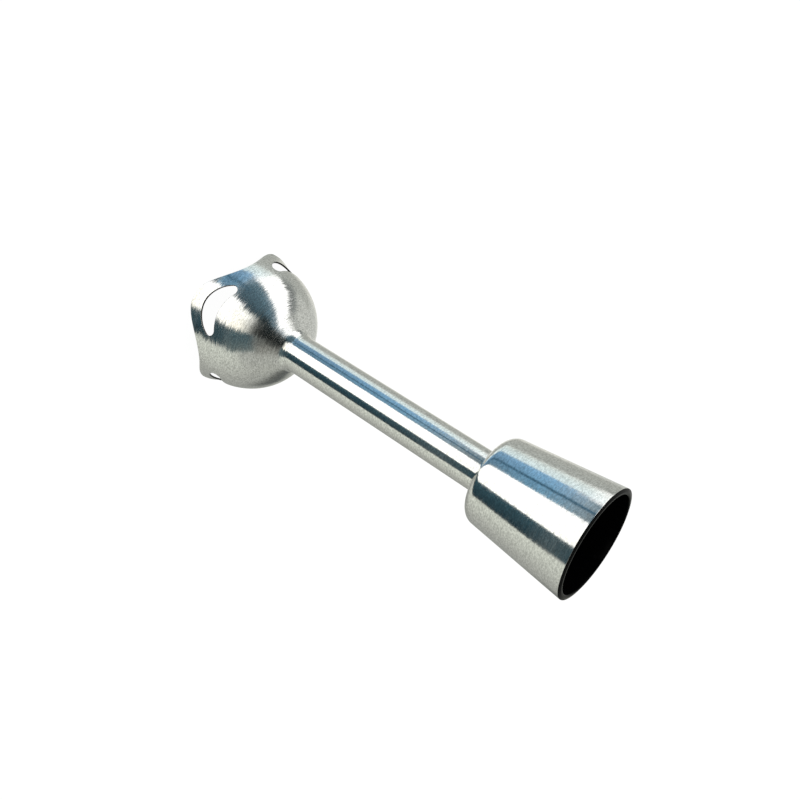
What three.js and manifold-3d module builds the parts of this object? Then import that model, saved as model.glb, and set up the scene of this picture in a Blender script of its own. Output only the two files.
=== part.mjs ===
// The detachable blending arm of an immersion blender: a steel bell-shaped blade guard with four
// lobes and four crescent slots, a steel tube, and a tapered steel collar with a black plastic
// socket that takes the motor body. A drive shaft runs through the tube on two bushings and
// carries the blade at the bottom and a six-lobed drive coupling at the top.
//
// Millimetres, +Z up along the drive axis. The four lobes of the guard stand on z = 0, one on each
// of -Y, +X, +Y and -X.
import * as THREE from 'three';
import Module from 'manifold-3d';
import { mergeVertices } from 'three/addons/utils/BufferGeometryUtils.js';

// Driving dimensions
const OVERALL_HEIGHT = 213;
const TUBE_RADIUS = 9.5;
const TUBE_WALL = 1.0;
const GUARD_WALL = 0.9;
const DOME_RADIUS = 33.94;
const DOME_RISE = 36.2;
const DOME_BASE = 6.2;
const DOME_ANGLES = [24, 38, 50];
const FLARE_TOP = 9;
const FLARE_REACH = 2.6;
const LOBES = 4;
const RIM_MIDDLE = 4.1;
const RIM_SWING = 4.37;
const SCALLOP_TOP = 12;
const NECK_SLOPE = 32.5;
const NECK_FILLET = 5;
const NECK_TOP = 45.3;
const COLLAR_TOP = 212.4;
const COLLAR_RADIUS = 24.8;
const COLLAR_TAPER = 0.0997;
const COLLAR_BASE = 162.4;
const COLLAR_SHOULDER = 5.1;
const COLLAR_WALL = 0.8;
const SEAT_RADIUS = 23;
const LINER_WALL = 1.5;
const SHAFT_RADIUS = 2.5;
const BLADE_REACH = 22;
const BLADE_THICKNESS = 1.2;
const BLADE_CRANK = 2.4;

// Clearances
const RUNNING = 0.05;
const GAP = 0.1;
const LINER_GAP = 0.25;

// Heights of the pieces along the drive axis
const TUBE_TOP = 172;
const BLADE_BASE = 10;
const HOUSING_BASE = 17.1;
const CROSS_PIN_Z = 177.2;
const COUPLING_BASE = 175.4;
const COUPLING_TOP = 191.5;
const SOCKET_FLOOR = 180;
const SCREW_CIRCLE = 13;

// Facets round the large steel and plastic shells, and round the small turned pieces
const GUARD_FACETS = 72;
const SHELL_FACETS = 36;
const SMALL_FACETS = 20;

const wasm = await Module();
wasm.setup();

const material = {
  steel: new THREE.MeshStandardMaterial({ color: 0xb9b8b2, roughness: 0.3, metalness: 1 }),
  shaftSteel: new THREE.MeshStandardMaterial({ color: 0xa9aaa8, roughness: 0.22, metalness: 1 }),
  bladeSteel: new THREE.MeshStandardMaterial({ color: 0xc6c7c8, roughness: 0.2, metalness: 1 }),
  bronze: new THREE.MeshStandardMaterial({ color: 0x9c6b3a, roughness: 0.45, metalness: 1 }),
  blackPlastic: new THREE.MeshStandardMaterial({ color: 0x08080a, roughness: 0.2, metalness: 0 }),
  greyNylon: new THREE.MeshStandardMaterial({ color: 0x3a3c3f, roughness: 0.5, metalness: 0 }),
  paleNylon: new THREE.MeshStandardMaterial({ color: 0xd9d6cb, roughness: 0.5, metalness: 0 }),
  rubber: new THREE.MeshStandardMaterial({ color: 0x1b1b1c, roughness: 0.8, metalness: 0 }),
};

// Geometry helpers

// Joins the vertices that coincide and drops the triangles that vanish at the axis.
function weld(geometry) {
  geometry.deleteAttribute('normal');
  geometry.deleteAttribute('uv');
  const merged = mergeVertices(geometry, 1e-4);
  const corners = merged.index.array;
  const kept = [];
  for (let i = 0; i < corners.length; i += 3) {
    const [a, b, c] = corners.slice(i, i + 3);
    if (a !== b && b !== c && c !== a) {
      kept.push(a, b, c);
    }
  }
  merged.setIndex(kept);
  return merged;
}

// Turns a closed outline of [radius, z] points, given anticlockwise, about the Z axis.
function turned(outline, facets = SMALL_FACETS) {
  const points = [...outline, outline[0]].map(([radius, z]) => new THREE.Vector2(radius, z));
  return weld(new THREE.LatheGeometry(points, facets).rotateX(Math.PI / 2));
}

// A plain ring or sleeve between two radii.
function ring(inner, outer, height, facets = SMALL_FACETS) {
  return turned([[inner, 0], [outer, 0], [outer, height], [inner, height]], facets);
}

// Points on an arc in the radius and height plane, angles in degrees.
function arc(centreRadius, centreZ, radius, from, to, steps) {
  const points = [];
  for (let i = 0; i <= steps; i++) {
    const angle = THREE.MathUtils.degToRad(from + (to - from) * i / steps);
    points.push([centreRadius + radius * Math.cos(angle), centreZ + radius * Math.sin(angle)]);
  }
  return points;
}

function prism(shape, height, curveSegments = 8) {
  return weld(new THREE.ExtrudeGeometry(shape, { depth: height, bevelEnabled: false, curveSegments }));
}

function toSolid(geometry) {
  return new wasm.Manifold(new wasm.Mesh({
    numProp: 3,
    vertProperties: new Float32Array(geometry.attributes.position.array),
    triVerts: new Uint32Array(geometry.index.array),
  }));
}

function toGeometry(solid) {
  const mesh = solid.getMesh();
  const geometry = new THREE.BufferGeometry();
  geometry.setAttribute('position', new THREE.BufferAttribute(mesh.vertProperties, 3));
  geometry.setIndex(new THREE.BufferAttribute(mesh.triVerts, 1));
  return geometry;
}

function cut(body, tools) {
  return toGeometry(tools.reduce((solid, tool) => solid.subtract(toSolid(tool)), toSolid(body)));
}

function join(body, additions) {
  return toGeometry(additions.reduce((solid, piece) => solid.add(toSolid(piece)), toSolid(body)));
}

// Copies of a geometry at equal angles about the Z axis.
function around(count, make) {
  return Array.from({ length: count }, (_, i) => make().rotateZ(2 * Math.PI * i / count));
}

// A round bar lying across the drive axis, along X.
function crossBar(radius, length, z) {
  const bar = new THREE.CylinderGeometry(radius, radius, length, 16).rotateZ(Math.PI / 2);
  return weld(bar.translate(0, 0, z));
}

// Blade guard

// Outer radius of the guard at a height: an elliptical dome whose skirt flares out at the foot.
// The inset gives the inner surface.
function guardRadius(z, inset = 0) {
  const rise = Math.max(z - DOME_BASE, 0) / (DOME_RISE - inset);
  const flare = FLARE_REACH * Math.max(1 - z / FLARE_TOP, 0) ** 2;
  return (DOME_RADIUS - inset) * Math.sqrt(Math.max(1 - rise * rise, 0)) + flare;
}

// The outline above the skirt: the dome runs out into a straight cone, and a fillet leads the cone
// up into the tube.
function crownOutline(inset, filletSteps) {
  const across = DOME_RADIUS - inset;
  const up = DOME_RISE - inset;
  const onDome = (turn) => [across * Math.cos(turn), DOME_BASE + up * Math.sin(turn)];
  const slope = THREE.MathUtils.degToRad(NECK_SLOPE);
  const [coneRadius, coneZ] = onDome(Math.atan(up / across / Math.tan(slope)));
  const centreRadius = TUBE_RADIUS + NECK_FILLET;
  const fillet = NECK_FILLET + inset;
  const contact = centreRadius - fillet * Math.sin(slope);
  const centreZ = coneZ + (coneRadius - contact) * Math.tan(slope) + fillet * Math.cos(slope);
  return [
    ...DOME_ANGLES.map((angle) => onDome(THREE.MathUtils.degToRad(angle))),
    [coneRadius, coneZ],
    ...arc(centreRadius, centreZ, fillet, 270 - NECK_SLOPE, 180, filletSteps),
    [centreRadius - fillet, NECK_TOP],
  ];
}

// The scalloped rim: a flat foot at each lobe and a rounded hollow between lobes.
function rimHeight(angle) {
  return Math.max(RIM_MIDDLE - RIM_SWING * Math.cos(LOBES * angle), 0);
}

// Lifts the foot of the turned skirt to the scalloped rim, keeping each point on its surface.
function scallop(geometry) {
  const position = geometry.attributes.position;
  for (let i = 0; i < position.count; i++) {
    const [x, y, z] = [position.getX(i), position.getY(i), position.getZ(i)];
    if (z >= SCALLOP_TOP) {
      continue;
    }
    const angle = Math.atan2(y, x);
    const inset = Math.hypot(x, y) > guardRadius(z, GUARD_WALL / 2) ? 0 : GUARD_WALL;
    const rim = rimHeight(angle);
    const height = rim + z * (1 - rim / SCALLOP_TOP);
    const radius = guardRadius(height, inset);
    position.setXYZ(i, radius * Math.cos(angle), radius * Math.sin(angle), height);
  }
  return geometry;
}

// The crescent slot of one lobe: a deep lower arc, a shallow upper arc that sags towards it, and
// two rounded horns. It is drawn in width and height, then cut straight through the wall.
function slotCutter() {
  const lower = { z: 21, radius: 15.45 };
  const upper = { z: 47, radius: 31.8 };
  const horn = 2.7;
  const inner = lower.radius - horn;
  const outer = upper.radius + horn;
  const spacing = upper.z - lower.z;
  const hornRise = (inner ** 2 - outer ** 2 + spacing ** 2) / (2 * spacing);
  const hornX = Math.sqrt(inner ** 2 - hornRise ** 2);
  const hornZ = lower.z + hornRise;
  const low = Math.atan2(hornRise, hornX);
  const high = Math.atan2(upper.z - hornZ, hornX);
  const outline = new THREE.Shape();
  outline.absarc(0, lower.z, lower.radius, Math.PI - low, 2 * Math.PI + low);
  outline.absarc(hornX, hornZ, horn, low, Math.PI - high);
  outline.absarc(0, upper.z, upper.radius, -high, high - Math.PI, true);
  outline.absarc(-hornX, hornZ, horn, high, Math.PI - low);
  return prism(outline, 20, 7).rotateX(Math.PI / 2).translate(0, -22, 0);
}

function bladeGuard() {
  const skirt = [0, 4, 8, SCALLOP_TOP];
  const outline = [
    ...skirt.map((z) => [guardRadius(z), z]),
    ...crownOutline(0, 4),
    ...crownOutline(GUARD_WALL, 2).reverse(),
    ...skirt.map((z) => [guardRadius(z, GUARD_WALL), z]).reverse(),
  ];
  const shell = scallop(turned(outline, GUARD_FACETS));
  return cut(shell, around(LOBES, slotCutter));
}

// Blade, hub and nut

// The blade is a cranked strip trimmed to an S-shaped plan with two swept wings.
function blade() {
  const side = new THREE.Shape();
  const flat = 7;
  side.moveTo(-BLADE_REACH - 1, -BLADE_CRANK);
  side.lineTo(-flat, 0);
  side.lineTo(flat, 0);
  side.lineTo(BLADE_REACH + 1, BLADE_CRANK);
  side.lineTo(BLADE_REACH + 1, BLADE_CRANK + BLADE_THICKNESS);
  side.lineTo(flat, BLADE_THICKNESS);
  side.lineTo(-flat, BLADE_THICKNESS);
  side.lineTo(-BLADE_REACH - 1, BLADE_THICKNESS - BLADE_CRANK);
  const strip = prism(side, 20).rotateX(Math.PI / 2).translate(0, 10, 0);
  const plan = new THREE.Shape();
  plan.moveTo(3, 6);
  for (const way of [1, -1]) {
    plan.quadraticCurveTo(15 * way, 6.5 * way, (BLADE_REACH - 1) * way, 1.5 * way);
    plan.quadraticCurveTo(BLADE_REACH * way, -0.8 * way, (BLADE_REACH - 1.5) * way, -2.6 * way);
    plan.quadraticCurveTo(12 * way, -3 * way, 6 * way, -4.6 * way);
    plan.quadraticCurveTo(3 * way, -6 * way, -3 * way, -6 * way);
  }
  const trimmed = toSolid(strip).intersect(toSolid(prism(plan, 12).translate(0, 0, -5)));
  const hole = new THREE.CylinderGeometry(SHAFT_RADIUS + RUNNING, SHAFT_RADIUS + RUNNING, 8, SMALL_FACETS);
  return toGeometry(trimmed.subtract(toSolid(weld(hole.rotateX(Math.PI / 2)))));
}

// A closed hexagon nut with a blind bore from above.
function bladeNut() {
  const body = weld(new THREE.CylinderGeometry(4.6, 4.6, 4.1, 6).rotateX(Math.PI / 2));
  const bore = new THREE.CylinderGeometry(SHAFT_RADIUS + RUNNING, SHAFT_RADIUS + RUNNING, 4.1, SMALL_FACETS);
  return cut(body, [weld(bore.rotateX(Math.PI / 2).translate(0, 0, 0.9))]);
}

// Bearings and seals

// The nylon carrier below the tube: a boss inside the guard, a flange under the dome and a plug
// with an O-ring groove inside the tube. Heights are above its lower face.
function lowerBearingHousing() {
  return turned([
    [5.5, 0], [7.2, 0], [8.6, 18.3], [12.5, 18.3], [12.5, 21.9], [8.2, 21.9], [8.2, 33],
    [6.9, 33], [6.9, 35], [8.2, 35], [8.2, 47], [3, 47], [3, 19], [4.5, 19], [4.5, 5.4], [5.5, 5.4],
  ]);
}

function upperBearingHousing() {
  return turned([
    [2.9, 0], [8.2, 0], [8.2, 12], [6.9, 12], [6.9, 14], [8.2, 14], [8.2, 22.15],
    [9.45, 22.15], [9.45, 24.3], [4.5, 24.3], [4.5, 8], [2.9, 8],
  ]);
}

function bushing(height) {
  return ring(SHAFT_RADIUS + RUNNING + 0.01, 4.45, height);
}

// Round-section sealing ring that sits in a groove.
function oRing(middleRadius, sectionRadius, facets = SMALL_FACETS) {
  return turned(arc(middleRadius, 0, sectionRadius, 0, 300, 5), facets);
}

// A ring of rubber with one thin lip that leans in to the shaft.
function lipSeal() {
  return turned([[4, 0], [5.4, 0], [5.4, 3.3], [4, 3.3], [3.9, 1.9], [2.62, 0.9], [2.62, 0.4], [3.9, 1.1]]);
}

// A spool in the middle of the tube that stops the long shaft whipping.
function shaftGuide() {
  return turned([
    [2.7, 0], [4.2, 0], [4.2, 4.5], [7, 4.5], [7, 1.5], [8.2, 1.5], [8.2, 10.5], [7, 10.5],
    [7, 7.5], [4.2, 7.5], [4.2, 12], [2.7, 12],
  ]);
}

// Drive shaft and coupling

const CLIP_GROOVE = { base: COUPLING_TOP + GAP, height: 0.8, radius: 2.0 };

function driveShaft() {
  const bottom = 6.9;
  const top = 194.5;
  const chamfer = 0.5;
  const grooveTop = CLIP_GROOVE.base + CLIP_GROOVE.height;
  const bar = turned([
    [0, bottom], [SHAFT_RADIUS - chamfer, bottom], [SHAFT_RADIUS, bottom + chamfer],
    [SHAFT_RADIUS, CLIP_GROOVE.base], [CLIP_GROOVE.radius, CLIP_GROOVE.base],
    [CLIP_GROOVE.radius, grooveTop], [SHAFT_RADIUS, grooveTop],
    [SHAFT_RADIUS, top - chamfer], [SHAFT_RADIUS - chamfer, top], [0, top],
  ]);
  return cut(bar, [crossBar(1 + RUNNING, 8, CROSS_PIN_Z)]);
}

// A six-lobed dog above a round collar that the cross pin passes through.
function driveCoupling() {
  const collarHeight = 3.8;
  const outline = new THREE.Shape();
  const steps = 36;
  for (let i = 0; i < steps; i++) {
    const angle = 2 * Math.PI * i / steps;
    const radius = 4.65 + 0.6 * Math.cos(6 * angle);
    outline.lineTo(radius * Math.cos(angle), radius * Math.sin(angle));
  }
  const height = COUPLING_TOP - COUPLING_BASE;
  const collar = weld(new THREE.CylinderGeometry(5.5, 5.5, collarHeight, SMALL_FACETS).rotateX(Math.PI / 2));
  const dog = prism(outline, height - collarHeight / 2).translate(0, 0, collarHeight / 2);
  const body = join(collar.translate(0, 0, collarHeight / 2), [dog]);
  const bore = new THREE.CylinderGeometry(SHAFT_RADIUS + RUNNING, SHAFT_RADIUS + RUNNING, 60, SMALL_FACETS);
  const pinHole = crossBar(1 + RUNNING, 14, CROSS_PIN_Z - COUPLING_BASE);
  return cut(body, [weld(bore.rotateX(Math.PI / 2)), pinHole]);
}

// An open spring-steel ring that snaps into the groove above the coupling.
function circlip() {
  const halfGap = THREE.MathUtils.degToRad(28);
  const outline = new THREE.Shape();
  outline.absarc(0, 0, 4, halfGap, 2 * Math.PI - halfGap);
  outline.absarc(0, 0, 2.15, 2 * Math.PI - halfGap, halfGap, true);
  return prism(outline, 0.6, 12);
}

// Collar

function collarRadius(z, inset = 0) {
  return COLLAR_RADIUS - COLLAR_TAPER * (COLLAR_TOP - z) - inset;
}

function collarShell() {
  const centreZ = COLLAR_BASE + COLLAR_SHOULDER;
  const centreRadius = collarRadius(centreZ) - COLLAR_SHOULDER * Math.hypot(1, COLLAR_TAPER);
  const coneAngle = -THREE.MathUtils.radToDeg(Math.atan(COLLAR_TAPER));
  const hole = TUBE_RADIUS + RUNNING;
  return turned([
    [hole, COLLAR_BASE],
    ...arc(centreRadius, centreZ, COLLAR_SHOULDER, -90, coneAngle, 6),
    [COLLAR_RADIUS, COLLAR_TOP],
    [COLLAR_RADIUS - COLLAR_WALL, COLLAR_TOP],
    ...arc(centreRadius, centreZ, COLLAR_SHOULDER - COLLAR_WALL, coneAngle, -90, 5),
    [hole, COLLAR_BASE + COLLAR_WALL],
  ], SHELL_FACETS);
}

// One bayonet lug, a short sector standing in from the socket wall.
function bayonetLug() {
  const half = THREE.MathUtils.degToRad(12);
  const outline = new THREE.Shape();
  outline.absarc(0, 0, 21.4, -half, half);
  outline.absarc(0, 0, 19.6, half, -half, true);
  return prism(outline, 3, 6).translate(0, 0, 197);
}

// The black socket: a sloping lip over the edge of the steel collar with a narrow flat seat at its
// crown, a tapered wall, a floor with an upstand round the drive coupling, and a hub that three
// screws hold to the tube flange.
function collarLiner() {
  const outer = (z) => [collarRadius(z, COLLAR_WALL + LINER_GAP), z];
  const inner = (z) => [collarRadius(z, COLLAR_WALL + LINER_GAP + LINER_WALL), z];
  const grooveRadius = outer(175)[0] - 1.2;
  const lipBase = COLLAR_TOP + RUNNING;
  const lipRadius = COLLAR_RADIUS - RUNNING;
  const body = turned([
    [9.9, 167.1], [16, 167.1], [16, 173.5],
    outer(173.5), outer(175), [grooveRadius, 175], [grooveRadius, 177], outer(177), outer(lipBase),
    [lipRadius, lipBase], [lipRadius, lipBase + 0.1], [SEAT_RADIUS + 0.3, OVERALL_HEIGHT],
    [SEAT_RADIUS - 0.3, OVERALL_HEIGHT], [SEAT_RADIUS - 0.7, 212.7], [SEAT_RADIUS - 0.9, 212.1],
    inner(210), inner(182), [18.5, 180.5], [17.6, SOCKET_FLOOR],
    [10.2, SOCKET_FLOOR], [10, 186], [8.4, 186], [8.4, SOCKET_FLOOR], [7, SOCKET_FLOOR],
    [7, 176.5], [9.9, 176.5],
  ], SHELL_FACETS);
  const screwHole = () => weld(new THREE.CylinderGeometry(1.65, 1.65, 30, 12).rotateX(Math.PI / 2)
    .translate(SCREW_CIRCLE, 0, SOCKET_FLOOR));
  return cut(join(body, around(3, bayonetLug)), around(3, screwHole));
}

// The ring welded round the top of the tube, tapped for the three liner screws.
function tubeFlange() {
  const tapped = () => weld(new THREE.CylinderGeometry(1.55, 1.55, 12, 12).rotateX(Math.PI / 2)
    .translate(SCREW_CIRCLE, 0, 0));
  return cut(ring(TUBE_RADIUS + RUNNING, 16, 2.7, SHELL_FACETS), around(3, tapped));
}

// A pan-head screw; its origin is at the underside of the head.
function linerScrew() {
  return turned([[0, -15.4], [1.4, -15.4], [1.4, 0], [2.7, 0], [2.7, 1], [1.9, 1.8], [0, 1.8]], 12);
}

// Assembly

const arm = new THREE.Group();
const driveTrain = new THREE.Group();
arm.add(driveTrain);

function place(parent, name, geometry, finish, z = 0) {
  const mesh = new THREE.Mesh(geometry, finish.clone());
  mesh.name = name;
  mesh.position.z = z;
  parent.add(mesh);
  return mesh;
}

place(arm, 'blade_guard', bladeGuard(), material.steel);
place(arm, 'shaft_tube', ring(TUBE_RADIUS - TUBE_WALL, TUBE_RADIUS, TUBE_TOP - NECK_TOP, SHELL_FACETS),
  material.steel, NECK_TOP);
place(arm, 'collar_shell', collarShell(), material.steel);
place(arm, 'collar_liner', collarLiner(), material.blackPlastic);
place(arm, 'liner_o_ring', oRing(19.45, 0.58, SHELL_FACETS), material.rubber, 176);
place(arm, 'flange_gasket', ring(TUBE_RADIUS + GAP, 15.7, 0.9, SHELL_FACETS), material.rubber, 163.3);
place(arm, 'tube_flange', tubeFlange(), material.shaftSteel, 164.3);
for (let i = 0; i < 3; i++) {
  const turn = 2 * Math.PI * i / 3;
  const screw = place(arm, `liner_screw_${i + 1}`, linerScrew(), material.shaftSteel, SOCKET_FLOOR + GAP);
  screw.position.x = SCREW_CIRCLE * Math.cos(turn);
  screw.position.y = SCREW_CIRCLE * Math.sin(turn);
}
place(arm, 'upper_bearing_housing', upperBearingHousing(), material.greyNylon, 150);
place(arm, 'upper_housing_o_ring', oRing(7.7, 0.72), material.rubber, 163);
place(arm, 'upper_bushing', bushing(15.8), material.bronze, 158.1);
place(arm, 'shaft_guide', shaftGuide(), material.paleNylon, 100);
place(arm, 'lower_bearing_housing', lowerBearingHousing(), material.greyNylon, HOUSING_BASE);
place(arm, 'lower_housing_o_ring', oRing(7.7, 0.72), material.rubber, HOUSING_BASE + 34);
place(arm, 'lower_bushing', bushing(13.2), material.bronze, HOUSING_BASE + 5.6);
place(arm, 'shaft_lip_seal', lipSeal(), material.rubber, HOUSING_BASE + 1.9);
place(arm, 'seal_retainer', ring(3.6, 5.4, 1.4), material.shaftSteel, HOUSING_BASE + 0.3);

place(driveTrain, 'drive_shaft', driveShaft(), material.shaftSteel);
place(driveTrain, 'drive_coupling', driveCoupling(), material.greyNylon, COUPLING_BASE);
place(driveTrain, 'coupling_cross_pin', crossBar(1, 10.4, 0), material.shaftSteel, CROSS_PIN_Z);
place(driveTrain, 'coupling_circlip', circlip(), material.shaftSteel, CLIP_GROOVE.base + GAP);
place(driveTrain, 'upper_thrust_washer', ring(2.6, 5, 0.7), material.bronze, 174.5);
place(driveTrain, 'lower_thrust_washer', ring(2.6, 5, 0.5), material.paleNylon, 16.4);
place(driveTrain, 'blade_hub', ring(SHAFT_RADIUS + RUNNING, 4.5, 5), material.shaftSteel, 11.3);
place(driveTrain, 'blade', blade(), material.bladeSteel, BLADE_BASE);
place(driveTrain, 'blade_nut', bladeNut(), material.shaftSteel, 7.85);

export default arm;
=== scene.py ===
"""Looks of the blending arm: fine meshes, procedural materials, a light studio and the camera.

The drive axis is Z and the guard's four lobes stand on z = 0. Lengths are in millimetres in this
script and become metres where a mesh is made.
"""

import math

import bmesh
import bpy
import numpy as np
from mathutils import Matrix, Vector
from mathutils.geometry import delaunay_2d_cdt


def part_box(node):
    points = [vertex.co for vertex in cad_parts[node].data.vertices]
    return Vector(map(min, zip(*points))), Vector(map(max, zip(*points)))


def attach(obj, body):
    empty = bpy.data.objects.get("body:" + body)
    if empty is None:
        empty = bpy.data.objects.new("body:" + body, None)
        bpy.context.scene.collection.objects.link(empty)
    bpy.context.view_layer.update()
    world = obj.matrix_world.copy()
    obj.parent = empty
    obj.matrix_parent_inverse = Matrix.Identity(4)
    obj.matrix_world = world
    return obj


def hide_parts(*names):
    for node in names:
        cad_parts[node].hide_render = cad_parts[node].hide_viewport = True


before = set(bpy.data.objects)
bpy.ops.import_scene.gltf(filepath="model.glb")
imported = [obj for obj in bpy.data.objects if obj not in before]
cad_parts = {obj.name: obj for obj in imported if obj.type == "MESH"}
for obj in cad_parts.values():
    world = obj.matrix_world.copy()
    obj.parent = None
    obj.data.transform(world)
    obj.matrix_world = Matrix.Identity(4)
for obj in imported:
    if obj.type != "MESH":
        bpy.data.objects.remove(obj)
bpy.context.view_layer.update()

MM = 0.001

# ---------------------------------------------------------------------------
# Driving dimensions, as in the CAD model


def node_box(node):
    """Lowest and highest corner of a CAD node, in millimetres."""
    low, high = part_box(node)
    return low / MM, high / MM


def span(node):
    """Lowest and highest z of a CAD node, in millimetres."""
    low, high = node_box(node)
    return low.z, high.z


def reach(node):
    """Largest x of a CAD node that is round about the drive axis, in millimetres."""
    return node_box(node)[1].x


NECK_TOP = span("blade_guard")[1]
OVERALL_HEIGHT = span("collar_liner")[1]
TUBE_RADIUS = reach("shaft_tube")
COLLAR_RADIUS = reach("collar_shell")
COLLAR_BASE, COLLAR_TOP = span("collar_shell")
SHAFT_RADIUS = reach("drive_shaft")
TUBE_WALL = 1.0
GUARD_WALL = 0.9
DOME_RADIUS = 33.94
DOME_RISE = 36.2
DOME_BASE = 6.2
FLARE_TOP = 9.0
FLARE_REACH = 2.6
LOBES = 4
RIM_MIDDLE = 4.1
RIM_SWING = 4.37
NECK_SLOPE = 32.5
NECK_FILLET = 5.0
COLLAR_TAPER = 0.0997
COLLAR_SHOULDER = 5.1
COLLAR_WALL = 0.8
SEAT_RADIUS = 23.0
LINER_GAP = 0.25
LINER_WALL = 1.5
SOCKET_FLOOR = 180.0
LUGS = 3
CLEARANCE = 0.05

# Radius of a turned outline's points on the axis, which keeps its innermost ring open by a hair.
AXIS = 0.001

# ---------------------------------------------------------------------------
# Mesh making


def finish_mesh(name, vertices, faces, body, material, replaced=(), sharp=35):
    """Makes a smooth-shaded object from points in millimetres and gives it its body and finish.

    Edges that turn more than sharp degrees stay sharp.
    """
    mesh = bpy.data.meshes.new(name)
    mesh.from_pydata([Vector(v) * MM for v in vertices], [], faces)
    mesh.validate()
    for polygon in mesh.polygons:
        polygon.use_smooth = True
    mesh.set_sharp_from_angle(angle=math.radians(sharp))
    mesh.update()
    piece = bpy.data.objects.new(name, mesh)
    bpy.context.scene.collection.objects.link(piece)
    piece.data.materials.append(material)
    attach(piece, body)
    if replaced:
        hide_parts(*replaced)
    return piece


def polar(radius, angle, z):
    return (radius * math.cos(angle), radius * math.sin(angle), z)


def full_circle(steps):
    """Evenly spaced angles once round."""
    return [2 * math.pi * i / steps for i in range(steps)]


def loft(rings, closed=True, capped=True):
    """Faces between rings with as many points each.

    Closed joins the last ring to the first. Otherwise the two ends are capped, unless capped is off.
    """
    count = len(rings[0])
    vertices = [point for ring in rings for point in ring]
    faces = []
    for i in range(len(rings) if closed else len(rings) - 1):
        below, above = i * count, (i + 1) % len(rings) * count
        for j in range(count):
            k = (j + 1) % count
            faces.append((below + j, below + k, above + k, above + j))
    if capped and not closed:
        faces.append(tuple(reversed(range(count))))
        faces.append(tuple(range((len(rings) - 1) * count, len(rings) * count)))
    return vertices, faces


NEARLY_STRAIGHT = math.radians(82)
MOST_OF_A_SIDE = 0.45


def rounded(outline, fillet, steps=3):
    """Rounds every corner of a closed [radius, z] outline; a third value is a corner's own fillet.

    A corner that is nearly straight stays, and a fillet takes at most 0.45 of either side.
    """
    points = []
    count = len(outline)
    for i in range(count):
        corner = np.array(outline[i][:2], float)
        size = outline[i][2] if len(outline[i]) > 2 else fillet
        before = np.array(outline[i - 1][:2], float) - corner
        after = np.array(outline[(i + 1) % count][:2], float) - corner
        to_before, to_after = np.linalg.norm(before), np.linalg.norm(after)
        before, after = before / to_before, after / to_after
        half = math.acos(max(-1.0, min(1.0, float(before @ after)))) / 2
        if size <= 0 or half > NEARLY_STRAIGHT:
            points.append(tuple(corner))
            continue
        cut = min(size / math.tan(half), MOST_OF_A_SIDE * to_before, MOST_OF_A_SIDE * to_after)
        for step in range(steps + 1):
            share = step / steps
            near = corner + before * cut * (1 - share) ** 2 + after * cut * share**2
            points.append(tuple(near))
    return points


def turned(name, outline, body, material, replaced=(), facets=128, fillet=0.15):
    """A solid of revolution from a closed anticlockwise outline in millimetres."""
    profile = rounded(outline, fillet)
    turns = full_circle(facets)
    vertices, faces = loft([[polar(r, turn, z) for turn in turns] for r, z in profile])
    return finish_mesh(name, vertices, faces, body, material, replaced)


def arc(centre_radius, centre_z, radius, start, end, steps):
    """Points on an arc in the radius and height plane, angles in degrees."""
    turns = [math.radians(start + (end - start) * i / steps) for i in range(steps + 1)]
    return [(centre_radius + radius * math.cos(t), centre_z + radius * math.sin(t)) for t in turns]


# ---------------------------------------------------------------------------
# Materials


class Graph:
    """Adds nodes to a tree and links them, so that a material reads as a formula."""

    def __init__(self, tree):
        tree.nodes.clear()
        self.tree = tree

    def add(self, kind, inputs=(), **settings):
        node = self.tree.nodes.new(kind)
        for key, value in settings.items():
            setattr(node, key, value)
        for key, value in dict(inputs).items():
            if isinstance(value, bpy.types.NodeSocket):
                self.tree.links.new(value, node.inputs[key])
            else:
                node.inputs[key].default_value = value
        return node

    def math(self, operation, first, second=0.0):
        return self.add("ShaderNodeMath", {0: first, 1: second}, operation=operation).outputs[0]

    def vector(self, operation, first, second=(0, 0, 0)):
        inputs = {0: first, (3 if operation == "SCALE" else 1): second}
        return self.add("ShaderNodeVectorMath", inputs, operation=operation).outputs[0]

    def dot(self, first, second):
        inputs = {0: first, 1: second}
        return self.add("ShaderNodeVectorMath", inputs, operation="DOT_PRODUCT").outputs["Value"]

    def noise(self, vector, scale, detail=2.0, roughness=0.5):
        inputs = {"Vector": vector, "Scale": scale, "Detail": detail, "Roughness": roughness}
        return self.add("ShaderNodeTexNoise", inputs).outputs["Fac"]

    def remap(self, value, low, high, to_low=0.0, to_high=1.0, smooth=True):
        inputs = {"Value": value, 1: low, 2: high, 3: to_low, 4: to_high}
        kind = "SMOOTHSTEP" if smooth else "LINEAR"
        return self.add("ShaderNodeMapRange", inputs, interpolation_type=kind).outputs[0]

    def blend(self, factor, first, second, mode="MIX"):
        node = self.add("ShaderNodeMix", {0: factor, 6: first, 7: second}, data_type="RGBA")
        node.blend_type = mode
        return node.outputs[2]


def colour(text):
    """Linear RGBA from an sRGB hex colour such as 33414A."""
    parts = [int(text[i:i + 2], 16) / 255 for i in (0, 2, 4)]
    linear = [p / 12.92 if p <= 0.04045 else ((p + 0.055) / 1.055) ** 2.4 for p in parts]
    return (*linear, 1.0)


def new_material(name):
    material = bpy.data.materials.new(name)
    material.use_nodes = True
    graph = Graph(material.node_tree)
    place = graph.add("ShaderNodeTexCoord").outputs["Object"]
    return material, graph, place


def set_shader(graph, inputs):
    shader = graph.add("ShaderNodeBsdfPrincipled", inputs)
    graph.add("ShaderNodeOutputMaterial", {"Surface": shader.outputs[0]})
    return shader


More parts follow.
